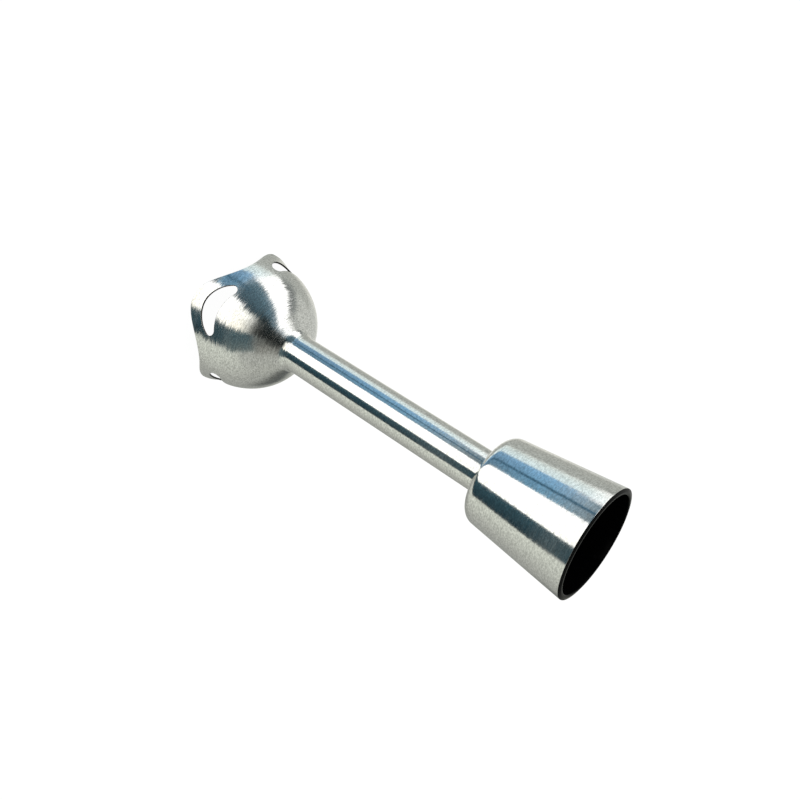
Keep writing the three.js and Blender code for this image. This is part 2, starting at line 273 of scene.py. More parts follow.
def grain_place(graph, place, along, across):
    """Stretches space so that noise runs in lines round the drive axis.

    along and across are how many noise cells fit in a metre along the lines and across them.
    """
    x, y, z = graph.add("ShaderNodeSeparateXYZ", {0: place}).outputs
    squares = graph.math("ADD", graph.math("MULTIPLY", x, x), graph.math("MULTIPLY", y, y))
    meridian = graph.math("SUBTRACT", z, graph.math("SQRT", squares))
    return graph.add("ShaderNodeCombineXYZ", {
        0: graph.math("MULTIPLY", x, along),
        1: graph.math("MULTIPLY", y, along),
        2: graph.math("MULTIPLY", meridian, across),
    }).outputs[0]


def tilt_normal(graph, sideways, lengthways):
    """Tilts the normal round the drive axis and along the piece by two small signed amounts."""
    normal = graph.add("ShaderNodeNewGeometry").outputs["Normal"]
    around = graph.vector("NORMALIZE", graph.vector("CROSS_PRODUCT", (0, 0, 1), normal))
    along = graph.vector("CROSS_PRODUCT", normal, around)
    tilted = graph.vector("ADD", normal, graph.vector("SCALE", around, sideways))
    return graph.vector("NORMALIZE", graph.vector("ADD", tilted, graph.vector("SCALE", along, lengthways)))


def signed(graph, noise, amount):
    """Turns noise about one half into a signed amount about zero."""
    return graph.math("MULTIPLY", graph.math("SUBTRACT", noise, 0.5), amount)


def edge_shade(graph, place):
    """Painted shade: dark where the guard turns over a cut edge, where a cut edge lies in shadow, and 1 on
    its two large faces.

    A cut edge's normal lies across the direction that points away from the dome's centre.
    """
    x, y, z = graph.add("ShaderNodeSeparateXYZ", {0: place}).outputs
    rise = graph.math("MAXIMUM", graph.math("SUBTRACT", z, DOME_BASE * MM))
    rise = graph.math("MULTIPLY", rise, (DOME_RADIUS / DOME_RISE) ** 2)
    away = graph.vector("NORMALIZE", graph.add("ShaderNodeCombineXYZ", {0: x, 1: y, 2: rise}).outputs[0])
    facing = graph.dot(away, graph.add("ShaderNodeNewGeometry").outputs["Normal"])
    turned_over = graph.remap(graph.math("ABSOLUTE", facing), 0.55, 0.85, 1.0, 0.0)
    near_slots = graph.remap(z, 26 * MM, 32 * MM, 1.0, 0.0)
    return graph.remap(graph.math("MULTIPLY", turned_over, near_slots), 0.0, 1.0, 1.0, 0.02)


def brushed_steel(name="brushed_steel", tint="F0F0ED", rough=0.12, sideways=0.03, lengthways=0.10,
                  anisotropic=0.6, speckle=0.21, paint_edge_shade=False):
    """Stainless steel brushed in fine rings round the drive axis, with a fine mottled grain."""
    material, graph, place = new_material(name)
    fine = graph.noise(grain_place(graph, place, 90, 5200), 1.0, 3.0, 0.6)
    coarse = graph.noise(grain_place(graph, place, 60, 1500), 1.0, 2.0, 0.6)
    mottle = graph.noise(grain_place(graph, place, 900, 1900), 1.0, 3.0, 0.6)
    smudge = graph.noise(place, 45.0, 3.0, 0.55)
    lines = graph.math("ADD", graph.math("MULTIPLY", fine, 0.5), graph.math("MULTIPLY", coarse, 0.5))
    roughness = graph.math("ADD", graph.remap(lines, 0.3, 0.7, rough - 0.04, rough + 0.06),
                           graph.remap(smudge, 0.35, 0.75, 0.0, 0.04))
    grain_and_edge_shade = graph.math("MULTIPLY", graph.remap(lines, 0.3, 0.7, 1.0, 0.93),
                      graph.remap(mottle, 0.3, 0.7, 0.945 + speckle, 0.945 - speckle))
    # Painted shade on the guard's cut edges, which darkens the base colour there.
    if paint_edge_shade:
        grain_and_edge_shade = graph.math("MULTIPLY", grain_and_edge_shade, edge_shade(graph, place))
    shade = graph.vector("SCALE", colour(tint)[:3], grain_and_edge_shade)
    set_shader(graph, {
        "Base Color": shade,
        "Metallic": 1.0,
        "Roughness": roughness,
        "Anisotropic": anisotropic,
        "Anisotropic Rotation": 0.25,
        "Tangent": graph.add("ShaderNodeTangent", direction_type="RADIAL", axis="Z").outputs[0],
        "Normal": tilt_normal(graph, signed(graph, coarse, sideways), signed(graph, fine, lengthways)),
    })
    return material


def spun_steel():
    """The guard's finish: the same steel, brushed more coarsely, with painted shade on its cut edges."""
    return brushed_steel("spun_steel", rough=0.17, sideways=0.17, lengthways=0.17,
                         speckle=0.3, paint_edge_shade=True)


def turned_steel():
    """The finish of the small steel parts: darker and less bright."""
    return brushed_steel("turned_steel", "D9DADA", rough=0.22, sideways=0.02, lengthways=0.08)


def blade_steel():
    """Ground steel with straight scratches along the wings, lighter on its convex edges."""
    material, graph, place = new_material("blade_steel")
    stretched = graph.vector("MULTIPLY", place, (60, 2600, 900))
    scratches = graph.noise(stretched, 1.0, 3.0, 0.6)
    edge = graph.remap(graph.add("ShaderNodeNewGeometry").outputs["Pointiness"], 0.5, 0.56)
    shade = graph.blend(edge, colour("D4D6D8"), colour("FFFFFF"))
    bump = graph.add("ShaderNodeBump", {"Strength": 0.12, "Distance": 0.0001, "Height": scratches})
    set_shader(graph, {
        "Base Color": shade,
        "Metallic": 1.0,
        "Roughness": graph.remap(scratches, 0.3, 0.7, 0.16, 0.3),
        "Normal": bump.outputs[0],
    })
    return material


def gloss_black():
    """Black moulded plastic with faint ripples and handling marks."""
    material, graph, place = new_material("black_plastic")
    ripple = graph.noise(place, 160.0, 2.0)
    marks = graph.noise(graph.vector("MULTIPLY", place, (900, 900, 240)), 1.0, 3.0, 0.7)
    bump = graph.add("ShaderNodeBump", {"Strength": 0.05, "Distance": 0.0004, "Height": ripple})
    set_shader(graph, {
        "Base Color": graph.blend(graph.remap(marks, 0.55, 0.8), colour("040405"), colour("0D0D0F")),
        "Roughness": graph.remap(marks, 0.4, 0.75, 0.12, 0.26),
        "IOR": 1.08,
        "Normal": bump.outputs[0],
    })
    return material


def moulded(name, tint, rough=0.45):
    """Satin moulded plastic with a fine spark-eroded grain."""
    material, graph, place = new_material(name)
    grain = graph.noise(place, 5200.0, 2.0, 0.6)
    cloud = graph.noise(place, 220.0, 2.0)
    bump = graph.add("ShaderNodeBump", {"Strength": 0.2, "Distance": 0.00008, "Height": grain})
    darker = graph.blend(1.0, colour(tint), (0.8, 0.8, 0.8, 1), "MULTIPLY")
    set_shader(graph, {
        "Base Color": graph.blend(graph.remap(cloud, 0.35, 0.7), colour(tint), darker),
        "Roughness": graph.remap(grain, 0.3, 0.7, rough - 0.07, rough + 0.08),
        "Normal": bump.outputs[0],
    })
    return material


def rubber():
    """Matt black rubber with a fine grain."""
    material, graph, place = new_material("rubber")
    grain = graph.noise(place, 3000.0, 3.0, 0.6)
    bump = graph.add("ShaderNodeBump", {"Strength": 0.25, "Distance": 0.0001, "Height": grain})
    set_shader(graph, {
        "Base Color": graph.blend(grain, colour("131313"), colour("232323")),
        "Roughness": graph.remap(grain, 0.3, 0.7, 0.62, 0.8),
        "Normal": bump.outputs[0],
    })
    return material


def bronze():
    """Sintered bronze: a fine open grain with darker pores."""
    material, graph, place = new_material("bronze")
    pores = graph.noise(place, 4200.0, 3.0, 0.65)
    bump = graph.add("ShaderNodeBump", {"Strength": 0.3, "Distance": 0.0001, "Height": pores})
    set_shader(graph, {
        "Base Color": graph.blend(graph.remap(pores, 0.35, 0.6), colour("6B4A26"), colour("B98746")),
        "Metallic": 1.0,
        "Roughness": graph.remap(pores, 0.3, 0.7, 0.5, 0.34),
        "Normal": bump.outputs[0],
    })
    return material


STEEL = brushed_steel()
SPUN = spun_steel()
TURNED = turned_steel()
BLADE = blade_steel()
BLACK = gloss_black()
GREY_NYLON = moulded("grey_nylon", "2A2B2E")
PALE_NYLON = moulded("pale_nylon", "DDD9CC")
RUBBER = rubber()
BRONZE = bronze()

# ---------------------------------------------------------------------------
# Blade guard


def guard_radius(z, inset=0.0):
    """Radius of the guard's outer surface at a height; the inset gives a surface inside it."""
    rise = max(z - DOME_BASE, 0.0) / (DOME_RISE - inset)
    flare = FLARE_REACH * max(1 - z / FLARE_TOP, 0.0) ** 2
    return (DOME_RADIUS - inset) * math.sqrt(max(1 - rise * rise, 0.0)) + flare


def rim_height(angle):
    """Height of the guard's lower edge: 0 at the lobes, highest between them."""
    return max(RIM_MIDDLE - RIM_SWING * math.cos(LOBES * angle), 0.0)


def slot_outline(grow):
    """The crescent slot of a lobe, as [across, z] points; grow widens it evenly.

    Its lower and upper edges are arcs about two centres on the lobe's middle, and a smaller arc
    rounds each horn.
    """
    lower_z, lower = 21.0, 15.45
    upper_z, upper = 47.0, 31.8
    horn = 2.7
    inner, outer, spacing = lower - horn, upper + horn, upper_z - lower_z
    horn_rise = (inner**2 - outer**2 + spacing**2) / (2 * spacing)
    horn_x = math.sqrt(inner**2 - horn_rise**2)
    horn_z = lower_z + horn_rise
    low = math.degrees(math.atan2(horn_rise, horn_x))
    high = math.degrees(math.atan2(upper_z - horn_z, horn_x))
    points = arc(0, lower_z, lower + grow, 180 - low, 360 + low, 40)[:-1]
    points += arc(horn_x, horn_z, horn + grow, low, 180 - high, 12)[:-1]
    points += arc(0, upper_z, upper - grow, -high, high - 180, 30)[:-1]
    points += arc(-horn_x, horn_z, horn + grow, high, 180 - low, 12)[:-1]
    return points


# The guard's surfaces are four lobe patches up to PATCH_TOP and a turned crown above it. EDGE is the
# radius of the cut edges, and no grid point stands nearer to a slot than HOLE_MARGIN.
EDGE = 0.2
EDGE_STEPS = 3
PATCH_TOP = 24.0
SECTOR_COLUMNS = 72
PATCH_ROWS = 24
HOLE_MARGIN = 0.75
CROWN_STEPS = 32
CROWN_STEPS_INSIDE = 20
SAME_POINT = 0.002


def edge_course():
    """(standing back from the edge, inset) pairs over the rounded edge of the guard's wall."""
    quarter = [math.radians(90 * i / EDGE_STEPS) for i in range(EDGE_STEPS + 1)]
    outer = [(EDGE * (1 - math.sin(t)), EDGE * (1 - math.cos(t))) for t in quarter]
    return outer + [(back, GUARD_WALL - inset) for back, inset in reversed(outer)]


def inside(point, polygon):
    """Whether a flat point is inside a closed polygon."""
    x, y = point
    hit = False
    for (x1, y1), (x2, y2) in zip(polygon, polygon[1:] + polygon[:1]):
        if (y1 > y) != (y2 > y) and x < (x2 - x1) * (y - y1) / (y2 - y1) + x1:
            hit = not hit
    return hit


def guard_point(across, z, inset):
    """A point of a slot's outline on the guard, in the lobe that faces -Y."""
    radius = guard_radius(z, inset)
    return (across, -math.sqrt(radius**2 - across**2), z)


def patch_base(angle):
    """Where a lobe's large surfaces begin, above the rounded rim."""
    return rim_height(angle) + EDGE


def flat_place(point):
    """Unrolls a point of the lobe that faces -Y to a plane where the rim is straight."""
    x, y, z = point
    angle = math.atan2(x, -y)
    base = patch_base(angle)
    return (angle * DOME_RADIUS, (z - base) / (PATCH_TOP - base) * PATCH_TOP)


def patch_grid(inset, flat_hole):
    """A lobe's grid points as (flat, place) pairs, and which of them are on the grid's border."""
    half = math.pi / LOBES
    hole_array = np.array(flat_hole)
    points, border = [], {}
    for i in range(SECTOR_COLUMNS + 1):
        angle = -half + 2 * half * i / SECTOR_COLUMNS
        base = patch_base(angle)
        for j in range(PATCH_ROWS + 1):
            flat = (angle * DOME_RADIUS, PATCH_TOP * j / PATCH_ROWS)
            edge = i in (0, SECTOR_COLUMNS) or j in (0, PATCH_ROWS)
            near = np.min(np.linalg.norm(hole_array - flat, axis=1)) < HOLE_MARGIN
            if not edge and (near or inside(flat, flat_hole)):
                continue
            if edge:
                border[i, j] = len(points)
            z = base + (PATCH_TOP - base) * j / PATCH_ROWS
            radius = guard_radius(z, inset)
            points.append((flat, (radius * math.sin(angle), -radius * math.cos(angle), z)))
    return points, border


def border_edges(border):
    """The grid's outer edges, as pairs of point numbers."""
    edges = []
    for (i, j), number in border.items():
        for other in ((i + 1, j), (i, j + 1)):
            along = i == other[0] in (0, SECTOR_COLUMNS) or j == other[1] in (0, PATCH_ROWS)
            if other in border and along:
                edges.append((number, border[other]))
    return edges


def lobe_patch(inset):
    """Points and triangles of one lobe's surface between rim and dome, with its slot left open."""
    hole = [guard_point(x, z, inset) for x, z in slot_outline(EDGE)]
    flat_hole = [flat_place(point) for point in hole]
    points, border = patch_grid(inset, flat_hole)
    start, count = len(points), len(hole)
    points += zip(flat_hole, hole)
    edges = border_edges(border)
    edges += [(start + k, start + (k + 1) % count) for k in range(count)]
    flat_points = [Vector(flat) for flat, _ in points]
    merge_reach = 1e-4
    made = delaunay_2d_cdt(flat_points, edges, [], 0, merge_reach)
    triangles, origins = made[2], made[3]
    faces = []
    for triangle in triangles:
        corners = [origins[k][0] for k in triangle]
        centre = np.mean([points[k][0] for k in corners], axis=0)
        if not inside(centre, flat_hole):
            faces.append(tuple(corners if inset == 0 else reversed(corners)))
    return [place for _, place in points], faces


def add_part(vertices, faces, part):
    """Appends a (vertices, faces) part to a mesh that is being gathered."""
    offset = len(vertices)
    vertices += part[0]
    faces += [tuple(offset + k for k in face) for face in part[1]]


def slot_wall():
    """The rounded cut edge of one slot, from the outer surface through to the inner one."""
    rings = [[guard_point(x, z, inset) for x, z in slot_outline(back)] for back, inset in edge_course()]
    vertices, faces = loft(rings, closed=False, capped=False)
    return vertices, [tuple(reversed(face)) for face in faces]


def rim_edge(turns):
    """The rounded lower edge of the guard, from its inner face round to its outer face."""
    rings = []
    for back, inset in reversed(edge_course()):
        heights = [rim_height(turn) + back for turn in turns]
        rings.append([polar(guard_radius(z, inset), turn, z) for turn, z in zip(turns, heights)])
    return loft(rings, closed=False, capped=False)


def crown_course(inset, steps):
    """Outline of one surface above the slots: dome, straight cone, fillet and neck."""
    across, up = DOME_RADIUS - inset, DOME_RISE - inset
    slope = math.radians(NECK_SLOPE)
    start = math.asin((PATCH_TOP - DOME_BASE) / up)
    end = math.atan(up / across / math.tan(slope))
    turns = [start + (end - start) * i / steps for i in range(steps + 1)]
    points = [(across * math.cos(t), DOME_BASE + up * math.sin(t)) for t in turns]
    cone_radius, cone_z = points[-1]
    centre, fillet = TUBE_RADIUS + NECK_FILLET, NECK_FILLET + inset
    contact = centre - fillet * math.sin(slope)
    centre_z = cone_z + (cone_radius - contact) * math.tan(slope) + fillet * math.cos(slope)
    points += arc(centre, centre_z, fillet, 270 - NECK_SLOPE, 180, steps // 2)
    return points + [(centre - fillet, NECK_TOP)]


def crown(turns):
    """The guard above the slots: up the outside and back down the inside."""
    course = crown_course(0.0, CROWN_STEPS) + crown_course(GUARD_WALL, CROWN_STEPS_INSIDE)[::-1]
    return loft([[polar(r, turn, z) for turn in turns] for r, z in course], closed=False, capped=False)


def surface_normal(radius, z, inset):
    """Radial and upward part of the normal of a guard surface, or None for a point off it."""
    across, up = DOME_RADIUS - inset, DOME_RISE - inset
    cone_turn = math.atan(up / across / math.tan(math.radians(NECK_SLOPE)))
    step = 0.01
    if radius > across * math.cos(cone_turn) - step:
        if abs(radius - guard_radius(z, inset)) > SAME_POINT:
            return None
        lean = (guard_radius(z + step, inset) - guard_radius(z - step, inset)) / (2 * step)
        return (1.0, -lean)
    centre, fillet = TUBE_RADIUS + NECK_FILLET, NECK_FILLET + inset
    centre_z = crown_course(inset, 2)[-2][1]
    toward = (centre - radius, centre_z - z)
    return toward if abs(math.hypot(*toward) - fillet) < SAME_POINT else None


def guard_normals(mesh):
    """Exact normals for the points on the guard's two large surfaces, so that they mirror cleanly."""
    normals = []
    for vertex in mesh.vertices:
        x, y, z = vertex.co / MM
        radius = math.hypot(x, y)
        normal = (0.0, 0.0, 0.0)
        for inset, side in ((0.0, 1), (GUARD_WALL, -1)):
            found = surface_normal(radius, z, inset)
            if found:
                outward = Vector((found[0] * x / radius, found[0] * y / radius, found[1]))
                normal = tuple(side * outward.normalized())
        normals.append(normal)
    mesh.normals_split_custom_set_from_vertices(normals)


def weld(piece):
    """Merges the points that coincide where parts of a mesh meet."""
    gathered = bmesh.new()
    gathered.from_mesh(piece.data)
    bmesh.ops.remove_doubles(gathered, verts=gathered.verts, dist=SAME_POINT * MM)
    gathered.to_mesh(piece.data)
    gathered.free()


def make_blade_guard():
    vertices, faces = [], []
    lobe_parts = (lobe_patch(0.0), lobe_patch(GUARD_WALL), slot_wall())
    for lobe in range(LOBES):
        turn = Matrix.Rotation(2 * math.pi * lobe / LOBES, 3, "Z")
        for points, part_faces in lobe_parts:
            add_part(vertices, faces, ([tuple(turn @ Vector(p)) for p in points], part_faces))
    turns = full_circle(LOBES * SECTOR_COLUMNS)
    add_part(vertices, faces, rim_edge(turns))
    add_part(vertices, faces, crown(turns))
    piece = finish_mesh("blade_guard_bell", vertices, faces, "arm", SPUN,
                        ["blade_guard"], sharp=60)
    weld(piece)
    guard_normals(piece.data)


make_blade_guard()

# ---------------------------------------------------------------------------
# Tube and collar


def make_tube():
    low, high = span("shaft_tube")
    bore = TUBE_RADIUS - TUBE_WALL
    outline = [(bore, low, 0), (TUBE_RADIUS, low, 0), (TUBE_RADIUS, high), (bore, high)]
    turned("shaft_tube_steel", outline, "arm", STEEL, ["shaft_tube"], facets=192)


def collar_radius(z, inset=0.0):
    """Radius of the collar's taper at a height, or of a wall that stands inside it."""
    return COLLAR_RADIUS - COLLAR_TAPER * (COLLAR_TOP - z) - inset


def make_collar_shell():
    """The tapered steel collar with its rounded shoulder and the hole for the tube."""
    centre_z = COLLAR_BASE + COLLAR_SHOULDER
    centre = collar_radius(centre_z) - COLLAR_SHOULDER * math.hypot(1, COLLAR_TAPER)
    cone = -math.degrees(math.atan(COLLAR_TAPER))
    hole = TUBE_RADIUS + CLEARANCE
    outline = [(hole, COLLAR_BASE, 0.12)]
    outline += [(r, z, 0) for r, z in arc(centre, centre_z, COLLAR_SHOULDER, -90, cone, 20)]
    outline += [(COLLAR_RADIUS, COLLAR_TOP, 0.2), (COLLAR_RADIUS - COLLAR_WALL, COLLAR_TOP, 0.2)]
    inner = arc(centre, centre_z, COLLAR_SHOULDER - COLLAR_WALL, cone, -90, 12)
    outline += [(r, z, 0) for r, z in inner]
    outline += [(hole, COLLAR_BASE + COLLAR_WALL)]
    turned("collar_shell_steel", outline, "arm", STEEL, ["collar_shell"], facets=192)


def lug(angle):
    """A bayonet lug on the socket wall, centred on an angle in degrees, with softened ends."""
    low, high, root, tip = 197.0, 200.0, 21.4, 19.6
    half_width, chamfer, steps = 12.0, 0.2, 12
    rings = []
    for i in range(steps + 1):
        turn = math.radians(angle + half_width * (2 * i / steps - 1))
        end = 0.25 if i in (0, steps) else 0.0
        corners = [(root, low + end), (tip + end, low + chamfer + end),
                   (tip + end, high - chamfer - end), (root, high - end)]
        rings.append([polar(r, turn, z) for r, z in corners])
    return loft(rings, closed=False)


def liner_outline():
    """Foot, tapered wall, the lip over the steel's edge, socket wall, floor and the ring round the bore."""
    outer = COLLAR_WALL + LINER_GAP
    inner = outer + LINER_WALL
    foot, foot_base, foot_top, foot_bore = 16.0, 167.1, 173.5, 9.9
    ring, ring_top, ring_bore = 10.0, 186.0, 8.4
    bore, bore_base = 7.0, 176.5
    lip_base, lip_edge = COLLAR_TOP + CLEARANCE, COLLAR_RADIUS - CLEARANCE
    return [
        (foot_bore, foot_base), (foot, foot_base), (foot, foot_top),
        (collar_radius(foot_top, outer), foot_top), (collar_radius(lip_base, outer), lip_base),
        (lip_edge, lip_base, 0.03), (lip_edge, lip_base + 0.12, 0.1),
        (SEAT_RADIUS + 0.3, OVERALL_HEIGHT, 0.25), (SEAT_RADIUS - 0.8, OVERALL_HEIGHT, 0.7),
        (collar_radius(OVERALL_HEIGHT - 5, inner), OVERALL_HEIGHT - 5, 0.3),
        (collar_radius(SOCKET_FLOOR + 1, inner), SOCKET_FLOOR + 1, 1.5), (18.2, SOCKET_FLOOR, 1.2),
        (ring + 0.2, SOCKET_FLOOR, 0.6), (ring, ring_top, 0.4),
        (ring_bore, ring_top, 0.3), (ring_bore, SOCKET_FLOOR, 0.3),
        (bore, SOCKET_FLOOR, 0.3), (bore, bore_base), (foot_bore, bore_base),
    ]


def make_collar_liner():
    profile = rounded(liner_outline(), 0.15, steps=5)
    turns = full_circle(192)
    vertices, faces = loft([[polar(r, turn, z) for turn in turns] for r, z in profile])
    for i in range(LUGS):
        add_part(vertices, faces, lug(360 * i / LUGS))
    finish_mesh("collar_socket", vertices, faces, "arm", BLACK, ["collar_liner"])


make_tube()
make_collar_shell()
make_collar_liner()

# ---------------------------------------------------------------------------
# Screws, bearings and seals


def cut_slot(piece, length, width, base, top):
    """Cuts an upright block that is centred on the axis out of a piece."""
    sides = ((-1, -1), (1, -1), (1, 1), (-1, 1))
    rings = [[(x * length / 2, y * width / 2, z) for x, y in sides] for z in (base, top)]
    vertices, faces = loft(rings, closed=False)
    mesh = bpy.data.meshes.new("recess")
    mesh.from_pydata([Vector(v) * MM for v in vertices], [], faces)
    tool = bpy.data.objects.new("recess", mesh)
    bpy.context.scene.collection.objects.link(tool)
    cut = piece.modifiers.new("cut", "BOOLEAN")
    cut.object = tool
    cut.operation = "DIFFERENCE"
    cut.solver = "EXACT"
    graph = bpy.context.evaluated_depsgraph_get()
    made = bpy.data.meshes.new_from_object(piece.evaluated_get(graph))
    piece.modifiers.remove(cut)
    piece.data = made
    bpy.data.objects.remove(tool)


def make_screw(node):
    """A pan-head screw with a cross recess, turned on the drive axis and then moved to its place."""
    low, high = node_box(node)
    shank, head_radius, crown_radius = 1.4, 2.7, 1.9
    head, recess_length, recess_width = high.z - 1.8, 2.6, 0.6
    outline = [(AXIS, low.z), (shank, low.z, 0.3), (shank, head), (head_radius, head, 0.1),
               (head_radius, head + 0.9, 0.4), (crown_radius, high.z, 0.5), (AXIS, high.z)]
    screw = turned(f"{node}_pan_head", outline, "arm", TURNED, [node], facets=48)
    for length, width in ((recess_length, recess_width), (recess_width, recess_length)):
        cut_slot(screw, length, width, head + 0.8, high.z + 1)
    screw.data.transform(Matrix.Translation(((low.x + high.x) / 2 * MM, (low.y + high.y) / 2 * MM, 0)))


for number in range(1, LUGS + 1):
    make_screw(f"liner_screw_{number}")


def make_lower_housing():
    """The boss that stands down inside the guard, its flange, and the plug in the tube."""
    base, top = span("lower_bearing_housing")
    flange, flange_base, flange_top = 12.5, base + 18.3, base + 21.9
    plug, groove, groove_base, groove_top = 8.2, 6.9, base + 33, base + 35
    seal_seat, seal_top = 5.5, base + 5.4
    bushing_seat, bushing_top, bore = 4.5, base + 19, 3.0
    outline = [
        (seal_seat, base, 0.3), (7.2, base, 0.6), (8.6, flange_base, 1.2), (flange, flange_base, 0.4),
        (flange, flange_top, 0.4), (plug, flange_top, 0.3), (plug, groove_base), (groove, groove_base),
        (groove, groove_top), (plug, groove_top), (plug, top, 0.5), (bore, top), (bore, bushing_top),
        (bushing_seat, bushing_top), (bushing_seat, seal_top), (seal_seat, seal_top),
    ]
    turned("lower_bearing_boss", outline, "arm", GREY_NYLON, ["lower_bearing_housing"])


def make_lip_seal():
    """A rubber ring whose lip slants down to the shaft."""
    base, top = span("shaft_lip_seal")
    outer, body, lip = reach("shaft_lip_seal"), 4.0, 2.62
    outline = [(body, base), (outer, base), (outer, top), (body, top), (body - 0.1, base + 1.9),
               (lip, base + 0.9, 0.05), (lip, base + 0.4, 0.05), (body - 0.1, base + 1.1)]
    turned("shaft_lip_seal_rubber", outline, "arm", RUBBER, ["shaft_lip_seal"], facets=96)


def make_ring(node, inner, material, body="arm", fillet=0.15, facets=96):
    """A plain turned ring that takes its height and outer radius from its CAD node."""
    low, high = span(node)
    outer = reach(node)
    outline = [(inner, low), (outer, low), (outer, high), (inner, high)]
    turned(f"{node}_ring", outline, body, material, [node], facets, fillet)


def make_o_ring(node, facets=128):
    """A round ring that fills its CAD node's box."""
    low, high = span(node)
    section = (high - low) / 2
    middle = reach(node) - section
    outline = [(r, z, 0) for r, z in arc(middle, (low + high) / 2, section, 0, 345, 23)]
    turned(f"{node}_round", outline, "arm", RUBBER, [node], facets)


make_lower_housing()
make_lip_seal()
make_ring("seal_retainer", 3.6, TURNED)
make_ring("lower_bushing", 2.56, BRONZE, fillet=0.4)
make_ring("upper_bushing", 2.56, BRONZE, fillet=0.4)
make_ring("upper_thrust_washer", 2.6, BRONZE, "drive_train")
make_ring("lower_thrust_washer", 2.6, PALE_NYLON, "drive_train")
make_ring("flange_gasket", TUBE_RADIUS + 0.1, RUBBER)
for ring_node in ("liner_o_ring", "upper_housing_o_ring", "lower_housing_o_ring"):
    make_o_ring(ring_node)

# ---------------------------------------------------------------------------
# Drive shaft, coupling and blade


def make_shaft():
    """The shaft, with the circlip's groove just above the coupling."""
    low, high = span("drive_shaft")
    groove = span("drive_coupling")[1] + 0.1
    groove_top, groove_radius = groove + 0.8, 2.0
    outline = [
        (AXIS, low), (SHAFT_RADIUS, low, 0.5), (SHAFT_RADIUS, groove, 0.1), (groove_radius, groove, 0.1),
        (groove_radius, groove_top, 0.1), (SHAFT_RADIUS, groove_top, 0.1), (SHAFT_RADIUS, high, 0.5),
        (AXIS, high),
    ]
    turned("drive_shaft_rod", outline, "drive_train", TURNED, ["drive_shaft"], facets=64)


def shaped(name, courses, material, node, sharp=35):
    """A closed solid of the drive train from courses of (z, radius), anticlockwise round its section.

    A radius is a length or a function of the angle.
    """
    turns = full_circle(192)
    rings = []
    for z, radius in courses:
        rings.append([polar(radius(turn) if callable(radius) else radius, turn, z) for turn in turns])
    vertices, faces = loft(rings)
    finish_mesh(name, vertices, faces, "drive_train", material, [node], sharp)


DOG_LOBES = 6
DOG_RADIUS = 4.65
DOG_SWING = 0.6


def dog(cut):
    """Radius of the six-lobed dog, cut back evenly, as a function of the angle."""
    return lambda turn: DOG_RADIUS + DOG_SWING * math.cos(DOG_LOBES * turn) - cut


def make_coupling():
    low, high = span("drive_coupling")
    collar, collar_top = 5.5, low + 3.8
    bore = SHAFT_RADIUS + CLEARANCE
    courses = [
        (low, bore), (low, collar - 0.3), (low + 0.3, collar), (collar_top - 0.3, collar),
        (collar_top, collar - 0.25), (collar_top, dog(-0.2)), (collar_top + 0.2, dog(0.02)),
        (collar_top + 0.4, dog(0)), (high - 0.9, dog(0)), (high - 0.3, dog(0.25)), (high, dog(0.65)),
        (high, bore),
    ]
    shaped("drive_coupling_dog", courses, GREY_NYLON, "drive_coupling")


def make_circlip():
    """An open spring ring whose gap is centred on +X."""
    low, high = span("coupling_circlip")
    inner, outer, half_gap, steps = 2.15, 4.0, 28, 64
    section = rounded([(inner, low), (outer, low), (outer, high), (inner, high)], 0.12)
    rings = []
    for i in range(steps + 1):
        turn = math.radians(half_gap + (360 - 2 * half_gap) * i / steps)
        rings.append([polar(r, turn, z) for r, z in section])
    vertices, faces = loft(rings, closed=False)
    faces = [tuple(reversed(face)) for face in faces]
    finish_mesh("coupling_circlip_spring", vertices, faces, "drive_train", TURNED,
                ["coupling_circlip"])


def hexagon(most):
    """Radius of the nut's hexagon where it is less than a limit, as a function of the angle."""
    flat = 4.6 * math.cos(math.pi / 6)
    return lambda turn: min(flat / math.cos((turn % (math.pi / 3)) - math.pi / 6), most)


def make_nut():
    """A closed nut with a domed face below and chamfered corners."""
    low, high = span("blade_nut")
    bore, cap = SHAFT_RADIUS + CLEARANCE, low + 0.9
    middle, corner = 0.02, 4.6
    courses = [
        (high, bore), (cap, bore), (cap, middle), (low, middle), (low, hexagon(2.6)),
        (low + 0.25, hexagon(3.6)), (low + 0.6, hexagon(4.2)), (low + 0.95, hexagon(4.5)),
        (low + 1.1, hexagon(corner)), (high - 0.5, hexagon(corner)), (high - 0.3, hexagon(4.4)),
        (high, hexagon(4.15)),
    ]
    shaped("blade_nut_cap", courses, TURNED, "blade_nut", sharp=20)


def make_hub():
    """A spacer with a flange at each end."""
    low, high = span("blade_hub")
    bore, flange, waist = SHAFT_RADIUS + CLEARANCE, 4.5, 3.9
    outline = [(bore, low), (flange, low, 0.3), (flange, low + 1.6, 0.2), (waist, low + 2.1, 0.3),
               (waist, high - 0.8, 0.3), (flange, high - 0.4, 0.2), (flange, high, 0.1), (bore, high)]
    turned("blade_hub_sleeve", outline, "drive_train", TURNED, ["blade_hub"], facets=96)


# The blade's wings run along X. BLADE_FLAT is where the crank begins, BLADE_ROUND where the tip
# begins to round off, and the cutting edge's grind starts at GRIND_START and is full after GRIND_RUN.
# LEAD_SWEEP and TRAIL_SWEEP are how far the two long edges draw in towards the tip, and TIP_PINCH is
# the share of its width that the blade keeps at the very tip.
BLADE_BASE = 10.0
BLADE_THICKNESS = 1.2
BLADE_HALF_WIDTH = 6.0
BLADE_CRANK = 2.4
BLADE_FLAT = 7.0
BLADE_ROUND = 18.6
BLADE_TIP = 21.4
LEAD_SWEEP = 4.4
TRAIL_SWEEP = 3.4
TIP_PINCH = 0.02
CRANK_END = 23.0
GRIND_START = 5.5
GRIND_RUN = 2.5
GRIND_WIDTH = 2.6
BURR = 0.15


